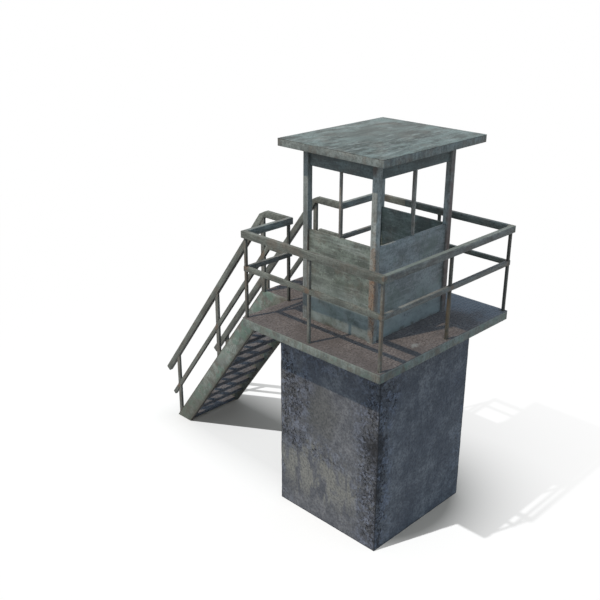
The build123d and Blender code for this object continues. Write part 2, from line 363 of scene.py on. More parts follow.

# Black stains on the front corner, dark bluish runs down the front and rear, which on these shaded faces
# are partly painted shade, specks, fine grain, and a dark line along the upright corners and the foot,
# which at the foot is painted contact shade
stain_mid = patch(tree, at, (left_x, front_y, 1.48), (0.20, 0.24, 0.29), ragged=0.42, grain=12.0)
stain_low = patch(tree, at, (left_x, front_y, 0.86), (0.12, 0.06, 0.17), ragged=0.45, grain=16.0)
colour = tint(tree, colour, calc(tree, "MAXIMUM", stain_mid, stain_low), 0.88, soot_black)
runs = cloudy(tree, stretched(tree, at, (9.0, 9.0, 0.55)), 2.2, 5.0, 0.6)
shaded_sides = calc(tree, "MULTIPLY", calc(tree, "ABSOLUTE", facing(tree)["Y"]), 0.40)
colour = tint(tree, colour, between(tree, runs, 0.46, 0.66), shaded_sides, mix(tree, 0.5, colour, run_and_shade_dark))
speck = between(tree, cloudy(tree, at, 60.0, 3.0, 0.6), 0.66, 0.72)
colour = tint(tree, colour, speck, 0.35, speck_pale)
grained = mix(tree, 0.6, colour, grain_dark)
colour = mix(tree, between(tree, fine, 0.34, 0.60), grained, colour)
# Along the foot, where the block meets the ground, this dark line is painted contact shade.
from_corner = calc(tree, "MAXIMUM", calc(tree, "SUBTRACT", block_high.x, span["X"]),
                   calc(tree, "SUBTRACT", block_high.y, span["Y"]))
from_edge = calc(tree, "MINIMUM", from_corner, span["Z"])
line = calc(tree, "SUBTRACT", 1.0, between(tree, from_edge, 0.008, 0.020))
colour = tint(tree, colour, line, 0.75, line_dark)
height = calc(tree, "SUBTRACT", calc(tree, "ADD", calc(tree, "MULTIPLY", fine, 0.5), flake),
              calc(tree, "MULTIPLY", pit, 1.8))
rough = calc(tree, "ADD", 0.82, calc(tree, "MULTIPLY", fine, 0.15))
shader.inputs["Specular IOR Level"].default_value = 0.3
close_material(tree, shader, colour, rough, height, bump=0.9, depth=0.005)

block_steps = (112, 104, 164)
wave_grain, nick_grain = 3.2, 17.0
chip_size, wave_chips, nick_chips = 0.003, 2.2, 1.4
skin_depth, wave_dents, nick_dents = 0.001, 0.8, 0.25
on_skin = 1e-6


def cast_surface(point):
    """Where a point of the plain block ends up: chipped edges and a slightly uneven skin."""
    x, y, z = point
    deep_x = min(x - block_low.x, block_high.x - x)
    deep_y = min(y - block_low.y, block_high.y - y)
    deep_z = min(z - block_low.z, block_high.z - z)
    wave = noise.fractal(Vector(point) * wave_grain, 0.9, 2.1, 6)
    nick = noise.fractal(Vector(point) * nick_grain, 0.8, 2.1, 4)
    chip = chip_size * (1 + max(0.0, wave * wave_chips) + max(0.0, nick) * nick_chips)
    dent = skin_depth * max(0.0, min(1.0, 0.5 + wave * wave_dents + nick * nick_dents))
    move = [0.0, 0.0, 0.0]
    for a, b, deep_a, deep_b in ((0, 1, deep_x, deep_y), (0, 2, deep_x, deep_z), (1, 2, deep_y, deep_z)):
        short = (chip - deep_a - deep_b) / 2
        if short > 0:
            move[a] = max(move[a], short)
            move[b] = max(move[b], short)
    for axis, deep in enumerate((deep_x, deep_y)):
        if deep < on_skin:
            move[axis] = max(move[axis], dent)
    if deep_z < on_skin and z < 1:
        move[2] = 0.0
    sign = [1 if point[i] < (block_low[i] + block_high[i]) / 2 else -1 for i in range(3)]
    return Vector((x + sign[0] * move[0], y + sign[1] * move[1], z + sign[2] * move[2]))


bm = bmesh.new()
size = block_high - block_low
rings = []
nx, ny, nz = block_steps
outline = [(i / nx, 0) for i in range(nx)] + [(1, j / ny) for j in range(ny)]
outline += [(1 - i / nx, 1) for i in range(nx)] + [(0, 1 - j / ny) for j in range(ny)]
for k in range(nz + 1):
    level = [block_low + Vector((u * size.x, v * size.y, k / nz * size.z)) for u, v in outline]
    rings.append([bm.verts.new(cast_surface(p)) for p in level])
for low_ring, high_ring in zip(rings, rings[1:]):
    for i in range(len(outline)):
        j = (i + 1) % len(outline)
        bm.faces.new((low_ring[i], low_ring[j], high_ring[j], high_ring[i]))
bm.faces.new(reversed(rings[0]))
bm.faces.new(rings[-1])
block_mesh = bpy.data.meshes.new("cast_block")
bm.to_mesh(block_mesh)
bm.free()
block_mesh.shade_smooth()
block_mesh.set_sharp_from_angle(angle=radians(35))
finish_piece(add_object("cast_block", block_mesh, concrete), "concrete", "concrete_base")


# Platform frame. Flat steel edge beams round the deck and joists under it, welded and painted
# green-grey. Rain has left drips down the outside.

# Weathered paint, for all the painted steel: cloudy patches, a grain along the piece, faded and
# blotched places, scuffs, dark speckle, and rust
paint_group, ins, outs = open_group("weathered_paint", [
    ("Vector", "Vector", (0, 0, 0)), ("Grain Vector", "Vector", (0, 0, 0)),
    ("Deep", "Color", (0.1, 0.1, 0.1, 1)), ("Pale", "Color", (0.3, 0.3, 0.3, 1)),
    ("Faded", "Color", (0.165, 0.128, 0.098, 1)), ("Rusty", "Color", (0.125, 0.085, 0.058, 1)),
    ("Patch Scale", "Float", 2.2), ("Grain Scale", "Float", 3.0), ("Grain Share", "Float", 0.5),
    ("Faded Share", "Float", 0.5), ("Blotch Share", "Float", 0.3), ("Rust Share", "Float", 0.35)],
    [("Color", "Color"), ("Roughness", "Float"), ("Height", "Float")])
tree = paint_group
patches = cloudy(tree, ins["Vector"], ins["Patch Scale"], 8.0, 0.66, 0.3)
grain = cloudy(tree, ins["Grain Vector"], ins["Grain Scale"], 7.0, 0.66)
speckle = cloudy(tree, ins["Vector"], 42.0, 5.0, 0.66)
patch_share = calc(tree, "SUBTRACT", 1.0, ins["Grain Share"])
shade = calc(tree, "ADD", calc(tree, "MULTIPLY", patches, patch_share),
             calc(tree, "MULTIPLY", grain, ins["Grain Share"]))
colour = mix(tree, between(tree, shade, 0.41, 0.59), ins["Deep"], ins["Pale"])
faded = cloudy(tree, ins["Vector"], calc(tree, "MULTIPLY", ins["Patch Scale"], 1.7), 6.0, 0.65)
colour = tint(tree, colour, between(tree, faded, 0.50, 0.62), ins["Faded Share"], ins["Faded"])
blotch = between(tree, cloudy(tree, ins["Vector"], 12.0, 6.0, 0.7, 0.4), 0.53, 0.63)
colour = tint(tree, colour, blotch, ins["Blotch Share"], scaled(tree, ins["Deep"], 0.5))
scuff = cloudy(tree, ins["Grain Vector"], calc(tree, "MULTIPLY", ins["Grain Scale"], 3.1), 6.0, 0.7)
colour = tint(tree, colour, between(tree, scuff, 0.57, 0.66), 0.5, scaled(tree, ins["Pale"], 1.3))
dark = calc(tree, "SUBTRACT", 1.0, between(tree, speckle, 0.34, 0.52))
colour = tint(tree, colour, dark, 0.6, scaled(tree, ins["Deep"], 0.6))
rusty = between(tree, cloudy(tree, ins["Vector"], 6.5, 9.0, 0.74), 0.59, 0.65)
colour = tint(tree, colour, rusty, ins["Rust Share"], ins["Rusty"])
height = calc(tree, "ADD", calc(tree, "MULTIPLY", grain, 0.6), calc(tree, "MULTIPLY", speckle, 0.4))
height = calc(tree, "SUBTRACT", height, calc(tree, "MULTIPLY", rusty, 0.35))
rough = calc(tree, "ADD", 0.50, calc(tree, "MULTIPLY", patches, 0.24))
rough = calc(tree, "ADD", rough, calc(tree, "MULTIPLY", rusty, 0.15), True)
for label, made in (("Color", colour), ("Roughness", rough), ("Height", height)):
    tree.links.new(made, outs[label])

# Where a piece faces down: a mask for painted shade on undersides
underside_shade_group, ins, outs = open_group("underside", [], [("Mask", "Float")])
tree = underside_shade_group
downward = calc(tree, "MULTIPLY", facing(tree)["Z"], -1.0)
tree.links.new(between(tree, downward, 0.30, 0.60), outs["Mask"])


def steel(name, tone, grain_stretch, grain_scale, patch_scale, spread, grain_share=0.5,
          faded=(0.165, 0.128, 0.098), faded_share=0.5, rust_share=0.35, blotch_share=0.30,
          edge_tone=(0.070, 0.055, 0.042), edge_reach=0.006, lean=0.0, marks=None):
    """Painted steel with marks of its own, painted shade on its underside, and worn edges.

    The spread is how far the tone varies. On a sloping piece the grain leans with it.
    """
    material, tree, shader, at = start_material(name)
    with_grain = place(tree, "Mapping", {"Vector": at, "Rotation": (lean, 0, 0)}).outputs[0]
    paint = use_group(tree, paint_group, {
        "Vector": at, "Grain Vector": stretched(tree, with_grain, grain_stretch),
        "Deep": (*(c * (1 - spread) for c in tone), 1), "Pale": (*(c * (1 + spread) for c in tone), 1),
        "Faded": (*faded, 1), "Patch Scale": patch_scale, "Grain Scale": grain_scale,
        "Grain Share": grain_share, "Faded Share": faded_share, "Blotch Share": blotch_share,
        "Rust Share": rust_share})
    colour = marks(tree, at, paint["Color"]) if marks else paint["Color"]
    # Faces that look down are darkened here: painted shade.
    colour = tint(tree, colour, use_group(tree, underside_shade_group)["Mask"], 0.85, (0.030, 0.026, 0.022))
    worn = edge(tree, at, edge_reach, grain=14.0, gaps=0.40)
    colour = tint(tree, colour, worn, 0.7, edge_tone)
    shader.inputs["Specular IOR Level"].default_value = 0.35
    close_material(tree, shader, colour, paint["Roughness"], paint["Height"], bump=0.6, depth=0.003)
    return material


def merged_solids(node):
    """A node's loose triangles joined up, with whole flat faces."""
    bm = bmesh.new()
    bm.from_mesh(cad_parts[node].data)
    bmesh.ops.remove_doubles(bm, verts=bm.verts, dist=1e-5)
    bmesh.ops.dissolve_limit(bm, angle_limit=radians(1), verts=bm.verts, edges=bm.edges)
    return bm


corner_turn, smooth_turn = radians(20), radians(32)


def worn_copy(node, width):
    """A node's solids as one clean mesh with small rounded edges."""
    bm = merged_solids(node)
    sharp = [e for e in bm.edges if e.calc_face_angle(0) > corner_turn]
    bmesh.ops.bevel(bm, geom=sharp, offset=width, segments=2, profile=0.5, affect="EDGES",
                    clamp_overlap=True)
    mesh = bpy.data.meshes.new(node + "_worn")
    bm.to_mesh(mesh)
    bm.free()
    mesh.shade_smooth()
    mesh.set_sharp_from_angle(angle=smooth_turn)
    return mesh


def dress(nodes, slot, material, width=0.003):
    """Stands a worn copy in for each node, with edges rounded to this width."""
    for node in nodes:
        finish_piece(add_object(node + "_worn", worn_copy(node, width), material), slot, node)


def drip_marks(tree, at, colour):
    """Dark drips and green patina below the top edge, which is scraped pale."""
    drips = cloudy(tree, stretched(tree, at, (11.0, 11.0, 1.4)), 2.0, 5.0, 0.6)
    colour = tint(tree, colour, between(tree, drips, 0.48, 0.60), 0.42, (0.125, 0.108, 0.080))
    patina = between(tree, cloudy(tree, at, 6.0, 6.0, 0.66, 0.2), 0.52, 0.60)
    colour = tint(tree, colour, patina, 0.45, (0.180, 0.245, 0.200))
    scraped = between(tree, apart(tree, at)["Z"], 2.725, 2.750)
    return tint(tree, colour, scraped, 0.35, (0.300, 0.300, 0.265))


# The side beams' paint is a darker copy of the end beams': their seen faces stand in the shade, and the
# darker tone is painted shade.
for name, tone, nodes in (
        ("platform_frame_paint", (0.200, 0.218, 0.192), ("deck_end_beams", "deck_joists")),
        ("platform_side_paint", (0.168, 0.180, 0.158), ("deck_side_beams",))):
    frame_steel = steel(name, tone, (2.5, 2.5, 1.6), grain_scale=4.0, patch_scale=3.2, spread=0.36,
                        grain_share=0.45, blotch_share=0.2, marks=drip_marks)
    dress(nodes, "frame_paint", frame_steel)


# Deck, landing and treads. Brown-grey steel tread plate over the frame and between the
# stringers, with small raised lugs that lie crosswise in turn and are worn here and there.
plate_group, ins, outs = open_group("rubbed_plate", [
    ("Vector", "Vector", (0, 0, 0)), ("Deep", "Color", (0.1, 0.1, 0.1, 1)),
    ("Pale", "Color", (0.2, 0.2, 0.2, 1))],
    [("Color", "Color"), ("Roughness", "Float"), ("Height", "Float")])
tree = plate_group
broad = cloudy(tree, ins["Vector"], 2.1, 7.0, 0.64)
fine = cloudy(tree, ins["Vector"], 38.0, 5.0, 0.68)
worn_bare = between(tree, cloudy(tree, ins["Vector"], 8.0, 7.0, 0.7, 0.4), 0.50, 0.64)
colour = mix(tree, between(tree, broad, 0.38, 0.62), ins["Deep"], ins["Pale"])
colour = tint(tree, colour, worn_bare, 0.25, scaled(tree, ins["Deep"], 0.55))
colour = mix(tree, between(tree, fine, 0.38, 0.58), scaled(tree, ins["Deep"], 0.7), colour)
rough = calc(tree, "ADD", 0.58, calc(tree, "MULTIPLY", broad, 0.25))
for label, made in (("Color", colour), ("Roughness", rough), ("Height", fine)):
    tree.links.new(made, outs[label])


def plate_steel(name, deep, pale, marks=None):
    """Tread plate between a deep and a pale tone, with marks of its own and worn edges."""
    material, tree, shader, at = start_material(name)
    plate = use_group(tree, plate_group, {"Vector": at, "Deep": (*deep, 1), "Pale": (*pale, 1)})
    colour = marks(tree, at, plate["Color"]) if marks else plate["Color"]
    worn = edge(tree, at, reach=0.005, grain=16.0, gaps=0.45)
    colour = tint(tree, colour, worn, 0.5, (0.16, 0.15, 0.135))
    shader.inputs["Specular IOR Level"].default_value = 0.12
    # The blue specular tint stands in for the blue sky in the plate's gloss: a painted reflection
    # colour.
    shader.inputs["Specular Tint"].default_value = (0.28, 0.55, 1.0, 1)
    close_material(tree, shader, colour, plate["Roughness"], plate["Height"], bump=0.5, depth=0.002)
    return material


def deck_marks(tree, at, colour):
    """A pale grey patch on the right, which is painted sheen lifting the shaded deck there, and a bright
    spot near the front corner.
    """
    # This pale patch is painted sheen: it lightens the deck where the cab's shade falls.
    painted_sheen = patch(tree, at, (1.12, -0.40, 2.76), (0.50, 1.05, 0.3), ragged=0.35, grain=3.0)
    colour = tint(tree, colour, painted_sheen, 0.65, (0.270, 0.268, 0.280))
    bright = patch(tree, at, (-0.40, -0.93, 2.76), (0.09, 0.05, 0.05), ragged=0.5, grain=30.0)
    return tint(tree, colour, bright, 0.6, (0.30, 0.30, 0.28))


deck_steel = plate_steel("deck_tread_plate", (0.140, 0.116, 0.106), (0.208, 0.174, 0.158), deck_marks)
tread_steel = plate_steel("stair_tread_plate", (0.165, 0.154, 0.156), (0.240, 0.224, 0.226))
dress(("deck_plate",), "deck_steel", deck_steel, width=0.002)
dress(("landing_plate",), "deck_steel", deck_steel)
dress(("treads",), "tread_steel", tread_steel)


def geometry_tree(name, inputs):
    """A geometry tree with named inputs: the tree, and both ends inside it."""
    tree = bpy.data.node_groups.new(name, "GeometryNodeTree")
    tree.interface.new_socket("Geometry", in_out="OUTPUT", socket_type="NodeSocketGeometry")
    tree.interface.new_socket("Geometry", in_out="INPUT", socket_type="NodeSocketGeometry")
    for label, kind, value in inputs:
        socket = tree.interface.new_socket(label, in_out="INPUT", socket_type="NodeSocket" + kind)
        if value is not None:
            socket.default_value = value
    return tree, tree.nodes.new("NodeGroupInput").outputs, tree.nodes.new("NodeGroupOutput").inputs


def grow(tree, kind, feeds=None, **settings):
    """Adds a node to a geometry tree, sets it up and fills its inputs."""
    new = tree.nodes.new(kind)
    for key, value in settings.items():
        setattr(new, key, value)
    return feed(tree, new, feeds or {})


def grown(name, tree, base, values):
    """The plain mesh that a geometry tree makes of a base mesh with these named inputs."""
    source = bpy.data.objects.new(name, base)
    scene.collection.objects.link(source)
    modifier = source.modifiers.new(name, "NODES")
    modifier.node_group = tree
    for item in tree.interface.items_tree:
        if item.in_out == "INPUT" and item.name in values:
            modifier[item.identifier] = values[item.name]
    source.update_tag()
    bpy.context.view_layer.update()
    ready = source.evaluated_get(bpy.context.evaluated_depsgraph_get())
    mesh = bpy.data.meshes.new_from_object(ready)
    source.modifiers.clear()
    source.data = mesh
    return source


lug_tree, ins, outs = geometry_tree("raised_lugs", [
    ("Length", "Float", 1.0), ("Width", "Float", 1.0), ("Pitch", "Float", 0.03),
    ("Lug Length", "Float", 0.027), ("Lug Width", "Float", 0.010), ("Lug Height", "Float", 0.004),
    ("Material", "Material", None)])


def lug_math(operation, first, second=0.0):
    return grow(lug_tree, "ShaderNodeMath", {0: first, 1: second}, operation=operation).outputs[0]


along = lug_math("FLOOR", lug_math("DIVIDE", ins["Length"], ins["Pitch"]))
side = lug_math("FLOOR", lug_math("DIVIDE", ins["Width"], ins["Pitch"]))
rows = grow(lug_tree, "GeometryNodeMeshGrid", {
    "Size X": lug_math("MULTIPLY", lug_math("SUBTRACT", along, 1.0), ins["Pitch"]),
    "Size Y": lug_math("MULTIPLY", lug_math("SUBTRACT", side, 1.0), ins["Pitch"]),
    "Vertices X": along, "Vertices Y": side})
lug = grow(lug_tree, "GeometryNodeMeshCone", {
    "Vertices": 6, "Radius Top": 0.22, "Radius Bottom": 0.5, "Depth": 1.0})
lug_size = grow(lug_tree, "ShaderNodeCombineXYZ", {
    0: ins["Lug Length"], 1: ins["Lug Width"], 2: ins["Lug Height"]})
lug_shape = grow(lug_tree, "GeometryNodeTransform", {
    "Geometry": lug.outputs["Mesh"], "Scale": lug_size.outputs[0]})
number = grow(lug_tree, "GeometryNodeInputIndex").outputs[0]
row = lug_math("FLOOR", lug_math("DIVIDE", lug_math("ADD", number, 0.5), side))
turned = lug_math("FLOORED_MODULO", lug_math("ADD", row, number), 2.0)
skip = lug_math("FLOORED_MODULO", lug_math("ADD", side, 1.0), 2.0)
turned = lug_math("FLOORED_MODULO", lug_math("ADD", turned, lug_math("MULTIPLY", row, skip)), 2.0)
angle = lug_math("ADD", lug_math("MULTIPLY", turned, radians(90)), radians(45))
lug_turn = grow(lug_tree, "ShaderNodeCombineXYZ", {2: angle})
sheet = grow(lug_tree, "GeometryNodeInstanceOnPoints", {
    "Points": rows.outputs["Mesh"], "Instance": lug_shape.outputs[0], "Rotation": lug_turn.outputs[0]})
on_plates = grow(lug_tree, "GeometryNodeInstanceOnPoints", {
    "Points": ins["Geometry"], "Instance": sheet.outputs[0]})
lugs = grow(lug_tree, "GeometryNodeRealizeInstances", {"Geometry": on_plates.outputs[0]})
lugs = grow(lug_tree, "GeometryNodeSetMaterial", {
    "Geometry": lugs.outputs[0], "Material": ins["Material"]})
lug_tree.links.new(lugs.outputs[0], outs[0])


def lugs_on(name, slot, material, boxes, margin):
    """Raised lugs on top of plates of one size, given as (low, high) corners."""
    low, high = boxes[0]
    middles = [((low.x + high.x) / 2, (low.y + high.y) / 2, high.z) for low, high in boxes]
    base = bpy.data.meshes.new(name)
    base.from_pydata(middles, [], [])
    finish_piece(grown(name, lug_tree, base, {
        "Length": high.x - low.x - margin, "Width": high.y - low.y - margin,
        "Material": material}), slot)


def separate_boxes(node):
    """The lowest and highest corners of each separate solid in a node."""
    bm = merged_solids(node)
    left = set(bm.verts)
    found = []
    while left:
        solid, queue = set(), [left.pop()]
        while queue:
            v = queue.pop()
            solid.add(v)
            for e in v.link_edges:
                other = e.other_vert(v)
                if other in left:
                    left.discard(other)
                    queue.append(other)
        found.append([Vector([f(v.co[i] for v in solid) for i in range(3)]) for f in (min, max)])
    bm.free()
    return sorted(found, key=lambda pair: pair[0].z)


wide_margin, slim_margin = 0.05, 0.025
lugs_on("deck_lugs", "deck_steel", deck_steel, [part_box("deck_plate")], wide_margin)
lugs_on("landing_lugs", "deck_steel", deck_steel, [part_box("landing_plate")], slim_margin)
lugs_on("tread_lugs", "tread_steel", tread_steel, separate_boxes("treads"), slim_margin)


# Cab posts. Four square steel posts welded to the deck that carry the roof, and a thin upright
# in each window, painted green-grey. The paint on the front post has rusted through.
def post_marks(tree, at, colour):
    """Rust on the front post, brown faces on its neighbours, painted shade high up on the left post, and
    a rusty seam.
    """
    low_rust = patch(tree, at, (-0.744, -0.55, 3.33), (0.045, 0.10, 0.72), ragged=0.30, grain=14.0)
    colour = tint(tree, colour, low_rust, 0.85, (0.330, 0.235, 0.165))
    orange = between(tree, cloudy(tree, at, 16.0, 5.0, 0.6), 0.52, 0.62)
    colour = tint(tree, colour, orange, calc(tree, "MULTIPLY", low_rust, 0.7), (0.300, 0.160, 0.090))
    dark = between(tree, cloudy(tree, at, 48.0, 4.0, 0.6), 0.53, 0.59)
    colour = tint(tree, colour, dark, calc(tree, "MULTIPLY", low_rust, 0.75), (0.07, 0.05, 0.04))
    for share, tone, centre, size, ragged, grain in (
            (0.80, (0.110, 0.060, 0.035), (-0.732, 0.516, 3.45), (0.05, 0.012, 0.75), 0.20, 14.0),
            (0.60, (0.190, 0.150, 0.122), (-0.690, -0.555, 3.42), (0.06, 0.03, 0.55), 0.35, 22.0),
            (0.75, (0.120, 0.066, 0.052), (0.678, -0.555, 3.65), (0.075, 0.05, 1.65), 0.25, 14.0),
            # this dark green-grey high on the left post is painted shade from the roof
            (0.45, (0.100, 0.116, 0.108), (-0.705, 0.556, 4.50), (0.10, 0.10, 0.80), 0.25, 8.0),
            (0.80, (0.085, 0.058, 0.045), (-0.744, -0.50, 4.86), (0.06, 0.07, 0.10), 0.30, 12.0)):
        colour = tint(tree, colour, patch(tree, at, centre, size, ragged, grain), share, tone)
    return colour


post_stretch = (7.0, 7.0, 0.7)
post_steel = steel("cab_post_paint", (0.308, 0.315, 0.288), post_stretch, grain_scale=4.0,
                   patch_scale=2.4, spread=0.30, faded_share=0.3, marks=post_marks)
dress(("cab_posts",), "frame_paint", post_steel)
mullion_steel = steel("mullion_paint", (0.270, 0.245, 0.210), post_stretch, grain_scale=4.0,
                      patch_scale=2.4, spread=0.35, faded_share=0.6, edge_reach=0.002)
dress(("mullions",), "frame_paint", mullion_steel, width=0.002)

# The weld beads run round the ends of posts, where they meet what they stand on and carry
bead_tree, ins, outs = geometry_tree("weld_bead", [
    ("Bead Radius", "Float", 0.004), ("Step", "Float", 0.006), ("Unevenness", "Float", 0.002),
    ("Material", "Material", None)])
seam_line = grow(bead_tree, "GeometryNodeMeshToCurve", {"Mesh": ins["Geometry"]})
seam_line = grow(bead_tree, "GeometryNodeResampleCurve", {
    "Curve": seam_line.outputs[0], "Length": ins["Step"]}, mode="LENGTH")
wobble = grow(bead_tree, "ShaderNodeTexNoise", {"Scale": 90.0, "Detail": 2.0}).outputs["Color"]
wobble = grow(bead_tree, "ShaderNodeVectorMath", {0: wobble, 1: (0.5, 0.5, 0.5)}, operation="SUBTRACT")
wobble = grow(bead_tree, "ShaderNodeVectorMath", {
    0: wobble.outputs[0], "Scale": ins["Unevenness"]}, operation="SCALE")
seam_line = grow(bead_tree, "GeometryNodeSetPosition", {
    "Geometry": seam_line.outputs[0], "Offset": wobble.outputs[0]})
bead_round = grow(bead_tree, "GeometryNodeCurvePrimitiveCircle", {
    "Resolution": 6, "Radius": ins["Bead Radius"]}, mode="RADIUS")
beads = grow(bead_tree, "GeometryNodeCurveToMesh", {
    "Curve": seam_line.outputs[0], "Profile Curve": bead_round.outputs[0]})
beads = grow(bead_tree, "GeometryNodeRealizeInstances", {"Geometry": beads.outputs[0]})
beads = grow(bead_tree, "GeometryNodeSetMaterial", {
    "Geometry": beads.outputs[0], "Material": ins["Material"]})
bead_tree.links.new(beads.outputs[0], outs[0])


level_enough = 0.3


def weld_beads(name, slot, material, nodes, radius=0.004):
    """Weld beads round the cut ends of the upright pieces in these nodes."""
    corners, seams = [], []
    for node in nodes:
        bm = merged_solids(node)
        for face in bm.faces:
            if abs(face.normal.z) > level_enough:
                first = len(corners)
                ring = [v.co.copy() for v in face.verts]
                corners += ring
                seams += [(first + i, first + (i + 1) % len(ring)) for i in range(len(ring))]
        bm.free()
    base = bpy.data.meshes.new(name)
    base.from_pydata(corners, seams, [])
    finish_piece(grown(name, bead_tree, base, {"Bead Radius": radius, "Material": material}), slot)


weld_beads("cab_post_welds", "frame_paint", post_steel, ("cab_posts",), radius=0.005)


# Cab walls. Low steel panels set in between the posts on three sides, mottled green-grey, with
# long level scuffs and rust along the foot, and head plates under the roof on all four sides.
def wall_marks(tree, at, colour):
    """Rust along the foot, long level scuffs, green patches, and pale patches low down that are painted
    light lifting the shade there.
    """
    level = apart(tree, at)["Z"]
    foot = calc(tree, "ADD", level, calc(tree, "MULTIPLY", cloudy(tree, at, 9.0, 5.0, 0.6), 0.09))
    foot = calc(tree, "SUBTRACT", 1.0, between(tree, foot, 2.815, 2.850))
    colour = tint(tree, colour, foot, 0.75, (0.120, 0.078, 0.052))
    long_scuff = cloudy(tree, stretched(tree, at, (0.8, 0.8, 9.0)), 3.0, 6.0, 0.62, 0.2)
    colour = tint(tree, colour, between(tree, long_scuff, 0.54, 0.66), 0.42, (0.360, 0.380, 0.350))
    green = between(tree, cloudy(tree, at, 3.2, 6.0, 0.6), 0.46, 0.64)
    colour = tint(tree, colour, green, 0.45, (0.122, 0.150, 0.118))
    # Low down the paint is lightened in patches: painted light that lifts the shade there.
    low = calc(tree, "SUBTRACT", 1.0, between(tree, level, 3.05, 3.42))
    painted_low_light = between(tree, cloudy(tree, at, 4.5, 7.0, 0.7, 0.3), 0.30, 0.68)
    return tint(tree, colour, calc(tree, "MULTIPLY", low, painted_low_light), 0.75, (0.350, 0.375, 0.350))


wall_stretch = (1.0, 1.0, 3.2)
wall_steel = steel("cab_wall_paint", (0.196, 0.216, 0.184), wall_stretch, grain_scale=2.4,
                   patch_scale=2.2, spread=0.46, faded_share=0.4, rust_share=0.25,
                   blotch_share=0.12, marks=wall_marks)
dress(("wall_left", "wall_right"), "wall_paint", wall_steel)
# The front wall stands in the shade. Its paint is lighter than the other walls', and that extra
# lightness is painted fill light.
front_wall_fill_lit_steel = steel("cab_front_wall_paint", (0.243, 0.250, 0.240), wall_stretch,
                         grain_scale=2.4, patch_scale=2.2, spread=0.36, faded_share=0.25,
                         rust_share=0.2, blotch_share=0.12, marks=wall_marks)
dress(("wall_front",), "wall_paint", front_wall_fill_lit_steel)
head_steel = steel("head_plate_paint", (0.128, 0.152, 0.146), (1.0, 1.0, 6.0), grain_scale=2.4,
                   patch_scale=1.8, spread=0.35, faded_share=0.2, rust_share=0.3)
dress(("heads_short", "heads_long"), "frame_paint", head_steel)


# Roof. A steel sheet on a shallow frame of edge beams and rafters, with pale streaks along its
# length where rain has run, and thin rust lines along its edges.
def roof_marks(tree, at, colour):
    """A dark cloud near the middle, and pale streaks from left to right."""
    cloud = patch(tree, at, (0.10, 0.15, 5.04), (0.72, 0.50, 0.4), ragged=0.35, grain=3.0)
    colour = tint(tree, colour, cloud, 0.50, (0.075, 0.092, 0.084))
    washed = cloudy(tree, stretched(tree, at, (1.2, 5.5, 5.0)), 2.4, 7.0, 0.66, 0.3)
    return tint(tree, colour, between(tree, washed, 0.53, 0.64), 0.45, (0.300, 0.330, 0.312))


roof_steel = steel("roof_paint", (0.120, 0.148, 0.138), (1.1, 3.4, 6.0), grain_scale=2.6,
                   patch_scale=2.0, spread=0.58, faded_share=0.25, rust_share=0.2,
                   edge_tone=(0.150, 0.105, 0.075), edge_reach=0.009, marks=roof_marks)
dress(("roof_sheet",), "roof_paint", roof_steel, width=0.002)
roof_edge_steel = steel("roof_edge_paint", (0.216, 0.228, 0.206), (2.2, 2.2, 2.2), grain_scale=7.0,
                        patch_scale=2.6, spread=0.34, grain_share=0.45,
                        edge_tone=(0.170, 0.115, 0.082), edge_reach=0.008)
dress(("roof_end_beams", "roof_rafters"), "roof_paint", roof_edge_steel)
# The side beams' paint is a darker copy of the end beams': their seen faces stand in the shade, and the
# darker tone is painted shade.
roof_side_steel = steel("roof_side_paint", (0.178, 0.190, 0.174), (6.0, 6.0, 1.2), grain_scale=4.0,
                        patch_scale=2.6, spread=0.36, grain_share=0.55,
                        edge_tone=(0.110, 0.085, 0.070))
dress(("roof_side_beams",), "roof_paint", roof_side_steel)


# Railing. Square steel rails on slim posts round the walkway, welded at every meeting, with rust
# at the welds and the top of the front rail worn pale.
def rust_spots(spots, tone=(0.165, 0.098, 0.060), share=0.65):
    """Rust that has broken out round certain places, given as (centre, size) pairs."""
    def marks(tree, at, colour):
        for centre, size in spots:
            rust = patch(tree, at, centre, size, ragged=0.5, grain=24.0)
            colour = tint(tree, colour, rust, share, tone)
        return colour
    return marks


side_rust = rust_spots([
    ((-1.27, 0.01, 3.43), (0.08, 0.05, 0.06)), ((-1.27, -1.12, 3.88), (0.04, 0.03, 0.04)),
    ((-1.27, 1.08, 3.45), (0.08, 0.07, 0.05)), ((-1.27, -1.09, 3.42), (0.06, 0.04, 0.04))])
front_rust = rust_spots([
    ((0.0, -1.1, 3.43), (0.06, 0.08, 0.05)), ((1.24, -1.1, 3.43), (0.06, 0.08, 0.06))])
post_rust = rust_spots([
    ((-1.24, -1.10, 3.30), (0.05, 0.06, 0.55)), ((-1.24, 1.09, 3.30), (0.05, 0.06, 0.60))],
    (0.125, 0.088, 0.058))
dark_post_rust = rust_spots([((0.0, -1.10, 3.10), (0.05, 0.06, 0.34))], (0.120, 0.085, 0.048))


def side_marks(tree, at, colour):
    """Soot on the near half of the left rails, and rust where posts meet them."""
    soot_and_shade = patch(tree, at, (-1.27, -0.65, 3.90), (0.12, 0.60, 0.14), ragged=0.25, grain=5.0)
    return side_rust(tree, at, tint(tree, colour, soot_and_shade, 0.4, (0.085, 0.085, 0.070)))


